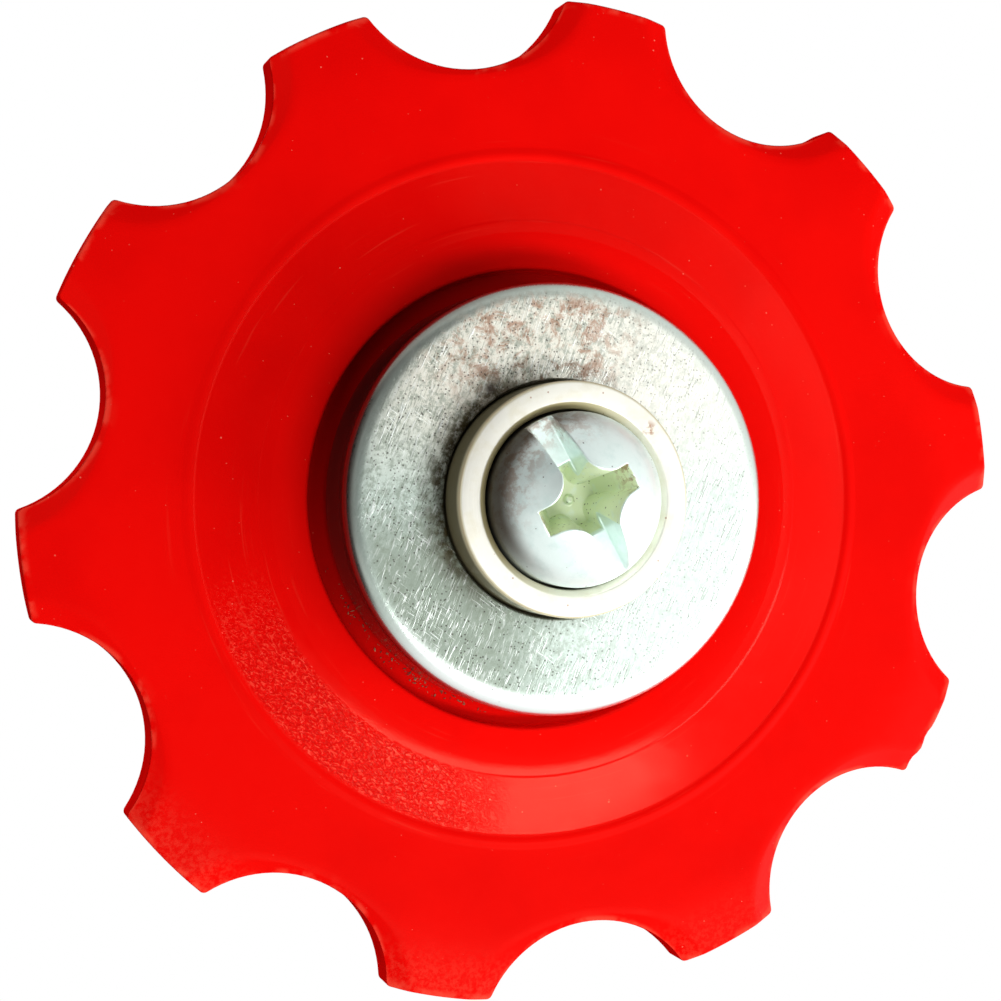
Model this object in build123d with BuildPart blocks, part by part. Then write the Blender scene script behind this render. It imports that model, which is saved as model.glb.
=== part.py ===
from build123d import *
import os
from math import acos, cos, pi, radians, sin, sqrt, tan

# Derailleur jockey wheel: a toothed plastic wheel that spins on a steel bush, between two pressed
# dust caps, with the bolt that holds it in the cage of the derailleur.
# Lengths are millimetres and angles are degrees. The wheel turns about the Y axis, the origin is on
# that axis in the middle plane of the teeth, the bolt head faces -Y and +Z is up.

# Chain and teeth
chain_pitch = 12.7
tooth_count = 10
pocket_radius = 4.38
tip_radius = 18.9
tip_corner_radius = 0.2
first_pocket_angle = -10.5
tooth_thickness = 2.4
tip_bevel_start_radius = 16.9
tip_bevel_angle = 7.0
flank_bevel_at_root = 0.25
flank_bevel_at_tip = 1.0
flank_bevel_angle = 20.0
flank_cutter_overrun = 0.15
blank_margin = 1.0

# Hub of the wheel
hub_width = 3.24
hub_land_radius = 9.85
hub_foot_radius = 12.65
bead_height = 0.06
bead_inner_run = 0.22
bead_outer_run = 0.28
recess_depth = 0.9
recess_edge_chamfer = 0.12

# Dust caps
cap_radius = 7.85
cap_sheet = 0.7
cap_bend_radius = 0.6
cap_inner_bevel = 0.3

# Bush
bush_end_radius = 4.2
bush_shoulder = 0.8
journal_length = 8.4
bush_end_length = 2.5
bush_mouth_chamfer = 0.25
bush_rim_chamfer = 0.1
head_seat_depth = 1.5

# Bolt
thread_radius = 2.0
shank_relief = 0.2
bolt_reach = 2.2
bolt_end_chamfer = 0.3
head_radius = 3.1
head_side = 1.85
head_dome_radius = 3.5
slot_angle = -62.0
slot_width = 0.95
cross_length = 4.0
cross_width = 1.0
cross_corner_radius = 1.05
cross_floor_length = 1.9
cross_floor_width = 0.55
cross_floor_corner_radius = 0.5
cross_depth = 3.0

# Fits and running gaps
journal_clearance = 0.05
bolt_hole_clearance = 0.1
cap_hole_clearance = 0.1
head_clearance = 0.1
recess_gap = 0.72
boss_gap = 0.35
boss_end_gap = 0.3
rim_end_gap = 0.4

# Radii that follow from the fits
pitch_radius = chain_pitch / (2 * sin(pi / tooth_count))
journal_radius = bush_end_radius + bush_shoulder
wheel_bore_radius = journal_radius + journal_clearance
bead_crest_radius = hub_foot_radius + bead_inner_run
bead_end_radius = bead_crest_radius + bead_outer_run
boss_radius = cap_radius - cap_sheet - boss_gap
recess_radius = cap_radius + recess_gap
cap_hole_radius = bush_end_radius + cap_hole_clearance
bolt_hole_radius = thread_radius + bolt_hole_clearance
shank_radius = thread_radius - shank_relief
head_seat_radius = head_radius + head_clearance

# Distances from the middle plane of the teeth
tooth_face = tooth_thickness / 2
hub_face = hub_width / 2
bead_crest = tooth_face + bead_height
recess_floor = hub_face - recess_depth
shoulder_face = journal_length / 2
bush_end = shoulder_face + bush_end_length
cap_face = shoulder_face + cap_sheet
cap_rim_end = recess_floor + rim_end_gap
boss_end = shoulder_face - boss_end_gap
head_seat = bush_end - head_seat_depth
head_rim = head_seat + head_side
head_top = head_rim + head_dome_radius - sqrt(head_dome_radius**2 - head_radius**2)
bolt_end = bush_end + bolt_reach

# Cone that bevels the sides of two teeth along the pocket between them, so that the bevel is narrow
# at the root of the pocket and wide at the tips of the teeth
blank_radius = tip_radius + blank_margin
blank_edge = tooth_face - (blank_radius - tip_bevel_start_radius) * tan(radians(tip_bevel_angle))
tip_drop = (tip_radius - tip_bevel_start_radius) * tan(radians(tip_bevel_angle))
flank_slope = tan(radians(flank_bevel_angle))
pocket_half_angle = acos(
    (tip_radius**2 + pitch_radius**2 - pocket_radius**2) / (2 * tip_radius * pitch_radius)
)
bevel_at_tip = flank_bevel_at_tip + tip_drop / flank_slope
bevel_half_angle = pocket_half_angle + bevel_at_tip / tip_radius
bevel_root = pitch_radius - pocket_radius - flank_bevel_at_root
flank_centre = (tip_radius**2 - bevel_root**2) / (2 * (tip_radius * cos(bevel_half_angle) - bevel_root))
flank_radius = flank_centre - bevel_root
flank_depth = bevel_at_tip * flank_slope + flank_cutter_overrun
flank_floor_radius = flank_radius - flank_depth / flank_slope
flank_mouth_radius = flank_radius + flank_cutter_overrun / flank_slope
flank_mouth = tooth_face + flank_cutter_overrun

# The middle plane of the teeth, seen from the front, with its x axis through the first pocket
pocket_direction = (cos(radians(first_pocket_angle)), 0, sin(radians(first_pocket_angle)))
tooth_plane = Plane(origin=(0, 0, 0), x_dir=pocket_direction, z_dir=Plane.XZ.z_dir)

FRONT = -1
REAR = 1

os.makedirs("parts", exist_ok=True)

# Toothed wheel: the front half is turned, the outline of the teeth trims it, a cone bevels the
# teeth along every pocket, and the half is mirrored.
recess_edge = (recess_radius, FRONT * hub_face)
with BuildPart() as toothed_wheel:
    with BuildSketch(Plane.XY) as half_section:
        with BuildLine():
            Polyline(
                (wheel_bore_radius, 0),
                (wheel_bore_radius, FRONT * boss_end),
                (boss_radius, FRONT * boss_end),
                (boss_radius, FRONT * recess_floor),
                (recess_radius, FRONT * recess_floor),
                recess_edge,
                (hub_land_radius, FRONT * hub_face),
                (hub_foot_radius, FRONT * tooth_face),
                (bead_crest_radius, FRONT * bead_crest),
                (bead_end_radius, FRONT * tooth_face),
                (tip_bevel_start_radius, FRONT * tooth_face),
                (blank_radius, FRONT * blank_edge),
                (blank_radius, 0),
                close=True,
            )
        make_face()
        chamfer(half_section.vertices().sort_by_distance(recess_edge)[0], recess_edge_chamfer)
    revolve(axis=Axis.Y)
    with BuildSketch(tooth_plane) as tooth_outline:
        Circle(tip_radius)
        with PolarLocations(pitch_radius, tooth_count):
            Circle(pocket_radius, mode=Mode.SUBTRACT)
        fillet(tooth_outline.vertices(), tip_corner_radius)
    extrude(amount=bush_end, both=True, mode=Mode.INTERSECT)
    with Locations(tooth_plane.offset(flank_mouth)):
        with PolarLocations(flank_centre, tooth_count):
            Cone(
                bottom_radius=flank_floor_radius,
                top_radius=flank_mouth_radius,
                height=flank_depth + flank_cutter_overrun,
                align=(Align.CENTER, Align.CENTER, Align.MAX),
                mode=Mode.SUBTRACT,
            )
    mirror(about=Plane.XZ)
toothed_wheel.part.label = "toothed_wheel"
export_step(toothed_wheel.part, "parts/toothed_wheel.step")

# Bush: the wheel runs on the thick middle, the caps seat on its two shoulders, and the head of the
# bolt sits in the wide mouth of the front end.
with BuildPart() as axle_bush:
    with BuildSketch(Plane.XY):
        with BuildLine():
            Polyline(
                (bolt_hole_radius, FRONT * head_seat),
                (head_seat_radius, FRONT * head_seat),
                (head_seat_radius, FRONT * bush_end),
                (bush_end_radius, FRONT * bush_end),
                (bush_end_radius, FRONT * shoulder_face),
                (journal_radius, FRONT * shoulder_face),
                (journal_radius, REAR * shoulder_face),
                (bush_end_radius, REAR * shoulder_face),
                (bush_end_radius, REAR * bush_end),
                (bolt_hole_radius, REAR * bush_end),
                close=True,
            )
        make_face()
    revolve(axis=Axis.Y)
    mouth, front_rim = axle_bush.edges().group_by(Axis.Y)[0].sort_by(SortBy.RADIUS)
    rear_rim = axle_bush.edges().group_by(Axis.Y)[-1].sort_by(SortBy.RADIUS)[-1]
    chamfer(mouth, bush_mouth_chamfer)
    chamfer([front_rim, rear_rim], bush_rim_chamfer)
axle_bush.part.label = "axle_bush"
export_step(axle_bush.part, "parts/axle_bush.step")

# Dust caps: one pressed cup for each side, with its rim in the recess of the hub.
for cap_label, side in (("front_dust_cap", FRONT), ("rear_dust_cap", REAR)):
    cup_corner = (cap_radius, side * cap_face)
    inner_corner = (cap_radius - cap_sheet, side * shoulder_face)
    with BuildPart() as dust_cap:
        with BuildSketch(Plane.XY) as cup_section:
            with BuildLine():
                Polyline(
                    (cap_hole_radius, side * cap_face),
                    cup_corner,
                    (cap_radius, side * cap_rim_end),
                    (cap_radius - cap_sheet, side * cap_rim_end),
                    inner_corner,
                    (cap_hole_radius, side * shoulder_face),
                    close=True,
                )
            make_face()
            fillet(cup_section.vertices().sort_by_distance(cup_corner)[0], cap_bend_radius)
            chamfer(cup_section.vertices().sort_by_distance(inner_corner)[0], cap_inner_bevel)
        revolve(axis=Axis.Y)
    dust_cap.part.label = cap_label
    export_step(dust_cap.part, f"parts/{cap_label}.step")

# Bolt: a domed head, with a slot right across it down to the rim and a tapered cross recess in its
# middle.
cross_sections = (
    (0, cross_length, cross_width, cross_corner_radius),
    (cross_depth, cross_floor_length, cross_floor_width, cross_floor_corner_radius),
)
with BuildPart() as pulley_bolt:
    with BuildSketch(Plane.XY):
        with BuildLine():
            RadiusArc((0, FRONT * head_top), (head_radius, FRONT * head_rim), FRONT * head_dome_radius)
            Polyline(
                (head_radius, FRONT * head_rim),
                (head_radius, FRONT * head_seat),
                (shank_radius, FRONT * head_seat),
                (shank_radius, REAR * bush_end),
                (thread_radius, REAR * bush_end),
                (thread_radius, REAR * bolt_end),
                (0, REAR * bolt_end),
                (0, FRONT * head_top),
            )
        make_face()
    revolve(axis=Axis.Y)
    chamfer(pulley_bolt.edges().group_by(Axis.Y)[-1], bolt_end_chamfer)
    with BuildSketch(Plane.XZ.offset(head_top)):
        Rectangle(2 * head_seat_radius, slot_width, rotation=slot_angle)
    extrude(amount=head_rim - head_top, mode=Mode.SUBTRACT)
    for depth, length, width, corner in cross_sections:
        with BuildSketch(Plane.XZ.offset(head_top - depth)) as cross_outline:
            Rectangle(length, width, rotation=slot_angle)
            Rectangle(width, length, rotation=slot_angle)
            inner_corners = cross_outline.vertices().sort_by_distance((0, 0))[:4]
            fillet(inner_corners, corner)
    loft(ruled=True, mode=Mode.SUBTRACT)
pulley_bolt.part.label = "pulley_bolt"
export_step(pulley_bolt.part, "parts/pulley_bolt.step")
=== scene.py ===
"""Looks of a derailleur jockey wheel.

A red moulded wheel with ten teeth turns on a steel bush between two pressed dust caps, and a bolt
with a slotted head holds it. Lengths in the dataclasses are millimetres in the frame of the part:
the wheel turns about Y, the bolt head faces -Y and +Z is up.
"""

import logging
import math
import random
from dataclasses import dataclass
from enum import Enum
from functools import cached_property
from typing import Callable, Optional, Sequence, Union

import bmesh
import bpy
from mathutils import Matrix, Vector

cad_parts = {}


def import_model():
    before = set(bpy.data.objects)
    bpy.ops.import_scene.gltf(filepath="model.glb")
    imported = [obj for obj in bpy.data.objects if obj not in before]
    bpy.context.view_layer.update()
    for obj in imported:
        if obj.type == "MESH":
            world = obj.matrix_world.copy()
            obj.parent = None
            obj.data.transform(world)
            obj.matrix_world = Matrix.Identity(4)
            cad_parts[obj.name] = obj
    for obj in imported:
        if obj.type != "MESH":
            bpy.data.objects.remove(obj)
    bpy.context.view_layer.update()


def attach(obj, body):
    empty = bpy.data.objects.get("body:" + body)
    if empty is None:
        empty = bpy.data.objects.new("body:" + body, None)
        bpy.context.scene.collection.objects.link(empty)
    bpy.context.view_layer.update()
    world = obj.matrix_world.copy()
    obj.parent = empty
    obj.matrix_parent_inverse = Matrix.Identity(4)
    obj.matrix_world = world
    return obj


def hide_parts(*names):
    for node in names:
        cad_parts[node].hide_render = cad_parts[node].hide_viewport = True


LOG = logging.getLogger("jockey_wheel")

MM = 0.001
MERGE_DISTANCE = 0.0004 * MM
NORMAL_WEIGHT = 60
AXIS = Vector((0.0, 1.0, 0.0))
CENTRE = Vector((0.0, 0.0, 0.0))

Colour = tuple[float, float, float]
Socket = bpy.types.NodeSocket
Value = Union[float, Socket]
Paint = Union[Colour, Socket]
Input = Union[Value, Paint]
Span = tuple[float, float]


class Body(Enum):
    """Bodies of the frame that the pieces ride on."""

    AXLE = "axle"
    WHEEL = "wheel"


class Slot(Enum):
    """Names of the material slots that the pieces carry."""

    WHEEL = "wheel_plastic"
    BUSH = "bush_steel"
    CAP = "cap_steel"
    BOLT = "bolt_steel"


class Side(Enum):
    """Sides of the middle plane of the teeth, as signs along Y."""

    FRONT = -1
    REAR = 1


class WheelFinish(Enum):
    """Finishes of the moulded wheel, by material index."""

    DISC = 0
    TOOTH_WALL = 1
    SLOPE = 2


def smooth_step(low: float, high: float, value: float) -> float:
    """Rise smoothly from 0 at one value to 1 at another.

    Args:
        low: value that gives 0.
        high: value that gives 1.
        value: value to look up.

    Returns:
        A share from 0 to 1.
    """
    share = min(1.0, max(0.0, (value - low) / (high - low)))
    return share * share * (3.0 - 2.0 * share)


def soft_min(first: float, second: float, width: float) -> float:
    """Take the lesser of two heights with a rounded corner where they cross.

    Args:
        first: one height.
        second: the other height.
        width: difference below which the corner is rounded.

    Returns:
        The rounded lesser height.
    """
    near = max(width - abs(first - second), 0.0) / width
    return min(first, second) - near * near * width / 4.0


def last_share(holds: Callable[[float], bool], rounds: int) -> float:
    """Find by halving how far from 0 towards 1 a condition holds.

    Args:
        holds: whether the condition holds at a share.
        rounds: number of halvings.

    Returns:
        The last share at which it was found to hold.
    """
    low, high = 0.0, 1.0
    for _ in range(rounds):
        middle = (low + high) / 2.0
        low, high = (middle, high) if holds(middle) else (low, middle)
    return low


def mesh_object(name: str, shell: bmesh.types.BMesh, materials: Sequence[bpy.types.Material]) -> bpy.types.Object:
    """Turn a bmesh into an object of the scene, and free it.

    Args:
        name: name of the object and of its mesh.
        shell: bmesh to take over.
        materials: materials by index.

    Returns:
        The object, at the origin and unturned.
    """
    mesh = bpy.data.meshes.new(name)
    shell.to_mesh(mesh)
    shell.free()
    for material in materials:
        mesh.materials.append(material)
    made = bpy.data.objects.new(name, mesh)
    bpy.context.scene.collection.objects.link(made)
    return made


class FinishGraph:
    """Shader nodes of one finish, with a call for each pattern that the finishes share."""

    def __init__(self, name: str, base: Colour) -> None:
        """Start a material with a principled shader and coordinates in millimetres.

        Args:
            name: name of the material.
            base: colour that the layers go on.
        """
        self.material = bpy.data.materials.new(name)
        self.material.use_nodes = True
        self.tree = self.material.node_tree
        self.tree.nodes.clear()
        self.shader = self.node("BsdfPrincipled")
        self.node("OutputMaterial", self.shader.outputs["BSDF"])
        self.colour: Paint = base
        self.normal: Optional[Socket] = None
        self.place = self.vector("SCALE", self.node("TexCoord").outputs["Object"], scale=1.0 / MM)
        self.x, self.y, self.z = self.node("SeparateXYZ", self.place).outputs

    def feed(self, socket: Socket, value: Input) -> None:
        """Link a socket to another, or set its constant.

        Args:
            socket: input to fill.
            value: output to link, a number, or a colour.
        """
        if isinstance(value, bpy.types.NodeSocket):
            self.tree.links.new(value, socket)
        elif isinstance(value, tuple) and socket.type == "RGBA":
            socket.default_value = (*value, 1.0)
        else:
            socket.default_value = value

    def node(self, kind: str, *values: Input, **settings: str) -> bpy.types.ShaderNode:
        """Add a node.

        Args:
            kind: kind of the node, without the prefix that all kinds share.
            values: values of its first sockets, in order.
            settings: choices of the node by name, made before its sockets are filled.

        Returns:
            The node.
        """
        node = self.tree.nodes.new("ShaderNode" + kind)
        for name, setting in settings.items():
            setattr(node, name, setting)
        for socket, value in zip(node.inputs, values):
            self.feed(socket, value)
        return node

    def vector(self, operation: str, first: Socket, second: Colour = (0.0, 0.0, 0.0),
               scale: float = 1.0) -> Socket:
        """Work on a vector.

        Args:
            operation: name of the vector operation.
            first: vector output to work on.
            second: constant vector, where the operation takes one.
            scale: factor, where the operation scales.

        Returns:
            The output, a number for a dot product or a length.
        """
        node = self.node("VectorMath", first, second, operation=operation)
        if operation == "SCALE":
            node.inputs["Scale"].default_value = scale
        return node.outputs["Value" if operation in ("DOT_PRODUCT", "LENGTH") else "Vector"]

    def maths(self, operation: str, first: Value, second: Value = 0.0, third: Value = 0.0) -> Socket:
        """Work on numbers.

        Args:
            operation: name of the math operation.
            first: first number.
            second: second number.
            third: third number, where the operation takes one.

        Returns:
            The number that comes out.
        """
        return self.node("Math", first, second, third, operation=operation).outputs[0]

    def times(self, *factors: Value) -> Value:
        """Multiply numbers.

        Args:
            factors: numbers to multiply, one or more.

        Returns:
            Their product.
        """
        product = factors[0]
        for factor in factors[1:]:
            product = self.maths("MULTIPLY", product, factor)
        return product

    def rise(self, value: Value, low: float, high: float) -> Socket:
        """Rise smoothly from 0 to 1 between two values; a low above the high falls instead.

        Args:
            value: number to look up.
            low: value that gives 0.
            high: value that gives 1.

        Returns:
            A share from 0 to 1.
        """
        ends = (high, low, 1.0, 0.0) if low > high else (low, high, 0.0, 1.0)
        return self.node("MapRange", value, *ends, interpolation_type="SMOOTHSTEP").outputs[0]

    def span(self, value: Value, low: float, high: float, fade: float) -> Value:
        """Mark the values between two limits.

        Args:
            value: number to look up.
            low: lower limit.
            high: upper limit.
            fade: width of the soft edge at each limit.

        Returns:
            1 inside, 0 outside.
        """
        return self.times(self.rise(value, low - fade, low + fade), self.rise(value, high + fade, high - fade))

    def noise(self, scale: float, detail: float = 2.0, roughness: float = 0.5, distortion: float = 0.0,
              place: Optional[Socket] = None) -> Socket:
        """Read a cloudy noise.

        Args:
            scale: features per millimetre, or per unit of place.
            detail: octaves.
            roughness: weight of the finer octaves.
            distortion: how far the noise bends itself.
            place: coordinates, those of the object by default.

        Returns:
            The noise, about 0.5 in the mean.
        """
        node = self.node("TexNoise", place or self.place)
        numbers = {"Scale": scale, "Detail": detail, "Roughness": roughness, "Distortion": distortion}
        for name, number in numbers.items():
            node.inputs[name].default_value = number
        return node.outputs[0]

    def specks(self, scale: float, size: float, share: float) -> Value:
        """Scatter small round specks.

        Args:
            scale: cells per millimetre.
            size: radius of a speck, as a share of a cell.
            share: share of the cells that hold a speck.

        Returns:
            1 on a speck, 0 elsewhere.
        """
        cells = self.node("TexVoronoi", self.place)
        cells.inputs["Scale"].default_value = scale
        split = self.node("SeparateColor", cells.outputs["Color"])
        held = self.maths("LESS_THAN", split.outputs[0], share)
        reach = self.times(split.outputs[1], size)
        return self.times(held, self.maths("LESS_THAN", cells.outputs["Distance"], reach))

    @cached_property
    def radius(self) -> Socket:
        """Distance from the axis of the wheel, in millimetres."""
        return self.maths("SQRT", self.maths("MULTIPLY_ADD", self.x, self.x, self.times(self.z, self.z)))

    def across(self, degrees: float) -> Socket:
        """Measure from the axis towards one side, seen from the front.

        Args:
            degrees: direction, counted from +X towards +Z.

        Returns:
            The distance in millimetres, negative on the other side.
        """
        angle = math.radians(degrees)
        return self.vector("DOT_PRODUCT", self.place, (math.cos(angle), 0.0, math.sin(angle)))

    def heading(self, degrees: float) -> Socket:
        """Tell how far a point lies towards one side, seen from the front.

        Args:
            degrees: direction, counted from +X towards +Z.

        Returns:
            1 on that side of the axis, -1 on the other side.
        """
        return self.maths("DIVIDE", self.across(degrees), self.radius)

    def towards(self, degrees: float, low: float, high: float) -> Socket:
        """Mark one side of the wheel, seen from the front.

        Args:
            degrees: direction of that side, counted from +X towards +Z.
            low: heading at which the mark starts.
            high: heading from which it is full.

        Returns:
            1 on that side, 0 elsewhere.
        """
        return self.rise(self.heading(degrees), low, high)

    def ringed(self, per_radius: float, per_turn: float) -> Socket:
        """Coordinates that follow circles round the axis.

        Args:
            per_radius: scale along the radius.
            per_turn: scale along the circle.

        Returns:
            A vector for a noise.
        """
        turns = (self.times(self.heading(degrees), per_turn) for degrees in (20.0, 110.0))
        return self.node("CombineXYZ", self.times(self.radius, per_radius), *turns).outputs[0]

    def streaked(self, degrees: float, along: float, across: float, along_axis: float) -> Socket:
        """Coordinates stretched along one direction of the front view.

        Args:
            degrees: direction of the streaks, counted from +X towards +Z.
            along: features per millimetre along the streaks.
            across: features per millimetre across the streaks.
            along_axis: features per millimetre along the axis of the wheel.

        Returns:
            A vector for a noise.
        """
        lines = self.times(self.across(degrees), along)
        cross = self.times(self.across(degrees + 90.0), across)
        return self.node("CombineXYZ", lines, cross, self.times(self.y, along_axis)).outputs[0]

    def spot(self, x: float, z: float, reach: float) -> Socket:
        """Mark a soft spot of the front view.

        Args:
            x: place of the spot along X.
            z: place of the spot along Z.
            reach: radius of the spot.

        Returns:
            1 at the middle, 0 from the radius outwards.
        """
        dx = self.maths("SUBTRACT", self.x, x)
        dz = self.maths("SUBTRACT", self.z, z)
        away = self.maths("SQRT", self.maths("MULTIPLY_ADD", dx, dx, self.times(dz, dz)))
        return self.rise(away, reach, 0.0)

    def attribute(self, name: str) -> Socket:
        """Read a number that the mesh carries under a name."""
        return self.node("Attribute", attribute_name=name).outputs["Fac"]

    def lay(self, paint: Colour, *shares: Value) -> None:
        """Lay a colour over the layers below it.

        Args:
            paint: colour on top.
            shares: numbers whose product tells how much of it shows.
        """
        layer = self.node("Mix", self.times(*shares), data_type="RGBA")
        self.feed(layer.inputs[6], self.colour)
        self.feed(layer.inputs[7], paint)
        self.colour = layer.outputs[2]

    def emboss(self, height: Value, depth: float) -> None:
        """Raise the surface by a pattern, on top of the patterns before it.

        Args:
            height: pattern from 0 to 1.
            depth: height of the pattern in millimetres.
        """
        relief = self.node("Bump")
        relief.inputs["Distance"].default_value = depth * MM
        self.feed(relief.inputs["Height"], height)
        if self.normal is not None:
            self.feed(relief.inputs["Normal"], self.normal)
        self.normal = relief.outputs[0]

    def dress(self, **sockets: Input) -> bpy.types.Material:
        """Fill the shader with the layers, the raised surface and the other values.

        Args:
            sockets: values by socket name, with underscores for spaces.

        Returns:
            The finished material.
        """
        sockets["Base_Color"] = self.colour
        if self.normal is not None:
            sockets["Normal"] = self.normal
        for name, value in sockets.items():
            self.feed(self.shader.inputs[name.replace("_", " ")], value)
        return self.material


@dataclass(frozen=True)
class MouldedPlastic:
    """Glossy red plastic, grained on the slope of the hub, with dust and rubbed edges, painted glints and shade on the
    grain, painted sheen on some tips and painted shade in the recess.
    """

    name: str = "red_moulded_plastic"
    red: Colour = (0.83, 0.002, 0.0012)
    deep_red: Colour = (0.78, 0.0015, 0.001)
    rub_and_glint: Colour = (0.95, 0.09, 0.05)
    dust: Colour = (0.95, 0.2, 0.13)
    # colour of the painted shade in the recess
    groove: Colour = (0.3, 0.001, 0.001)
    valley_shade: Colour = (0.5, 0.001, 0.001)
    sheen: Colour = (1.0, 0.26, 0.17)
    sheen_level: float = 0.06
    roughness: float = 0.26
    groove_radius: float = 8.56
    recess_shade_clear_heading: float = 275.0
    slope_span: Span = (10.45, 12.6)
    scuff_span: Span = (9.2, 13.6)
    grain_depth: float = 0.018
    grain_heading: float = 230.0
    grain_lines: float = 140.0
    tip_radius: float = 18.9
    tip_heading: float = 252.0

    def material(self) -> bpy.types.Material:
        """Make the nodes of the finish.

        Returns:
            The material.
        """
        graph = FinishGraph(self.name, self.red)
        radius = graph.radius
        graph.lay(self.deep_red, graph.rise(graph.noise(0.22, 3.0), 0.42, 0.7))
        graph.emboss(graph.noise(0.5, 3.0), 0.01)

        # Grain of the slope, with painted shade in its valleys and painted glints on its crests, mostly at the lower
        # left
        slope = graph.span(radius, *self.slope_span, fade=0.12)
        grained = graph.maths("MULTIPLY_ADD", graph.towards(self.grain_heading, 0.78, 0.985), 0.98, 0.02)
        grain = graph.noise(1.0, 2.0, 0.55, 0.6, graph.streaked(self.grain_lines, 5.6, 10.5, 8.0))
        graph.emboss(graph.times(graph.rise(grain, 0.38, 0.62), slope, grained), self.grain_depth)
        graph.lay(self.valley_shade, graph.rise(grain, 0.48, 0.36), slope, grained, 0.5)
        graph.lay(self.rub_and_glint, graph.rise(grain, 0.54, 0.66), slope, grained, 0.5)

        # Scuffs round the hub, rubbed tips of the teeth with painted sheen on the lower left ones, and rubbed edges of
        # the teeth
        rings = graph.noise(1.0, 3.0, 0.6, place=graph.ringed(7.0, 2.2))
        graph.lay(self.rub_and_glint, graph.rise(rings, 0.62, 0.74), graph.span(radius, *self.scuff_span, fade=0.7), 0.12)
        tips = graph.rise(radius, self.tip_radius - 2.2, self.tip_radius - 0.4)
        graph.lay(self.rub_and_glint, tips, graph.towards(self.tip_heading, 0.5, 0.95),
                  graph.rise(graph.noise(5.0, 4.0, 0.7), 0.42, 0.62), 0.22)
        graph.lay(self.rub_and_glint, graph.attribute("edge_wear"), graph.rise(graph.noise(1.3, 3.0), 0.4, 0.6), 0.5)

        # Painted shade in the recess, lighter at the bottom, and specks of dust
        sunk = graph.rise(radius, self.groove_radius + 0.05, self.groove_radius - 0.08)
        recess_shade = graph.maths("MULTIPLY_ADD", graph.towards(self.recess_shade_clear_heading, 0.3, 1.0), -0.62, 0.66)
        graph.lay(self.groove, sunk, recess_shade)
        specks = graph.maths("MAXIMUM", graph.specks(2.3, 0.1, 0.25), graph.specks(4.6, 0.15, 0.16))
        graph.lay(self.dust, specks, graph.rise(graph.noise(0.6, 2.0), 0.4, 0.6), 0.7)
        return graph.dress(
            Roughness=graph.maths("MULTIPLY_ADD", graph.noise(1.7, 3.0), 0.16, self.roughness),
            Specular_IOR_Level=self.sheen_level,
            Specular_Tint=self.sheen,
        )


@dataclass(frozen=True)
class MattPlastic:
    """The same red plastic on the walls of the teeth, where the chain has rubbed off the gloss."""

    red: Colour = (0.72, 0.002, 0.0012)
    deep_red: Colour = (0.64, 0.0015, 0.001)

    def material(self) -> bpy.types.Material:
        """Make the nodes of the finish.

        Returns:
            The material.
        """
        graph = FinishGraph("matt_moulded_plastic", self.red)
        graph.lay(self.deep_red, graph.rise(graph.noise(1.2, 3.0), 0.4, 0.65))
        return graph.dress(Roughness=0.8, Specular_IOR_Level=0.0)


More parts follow.
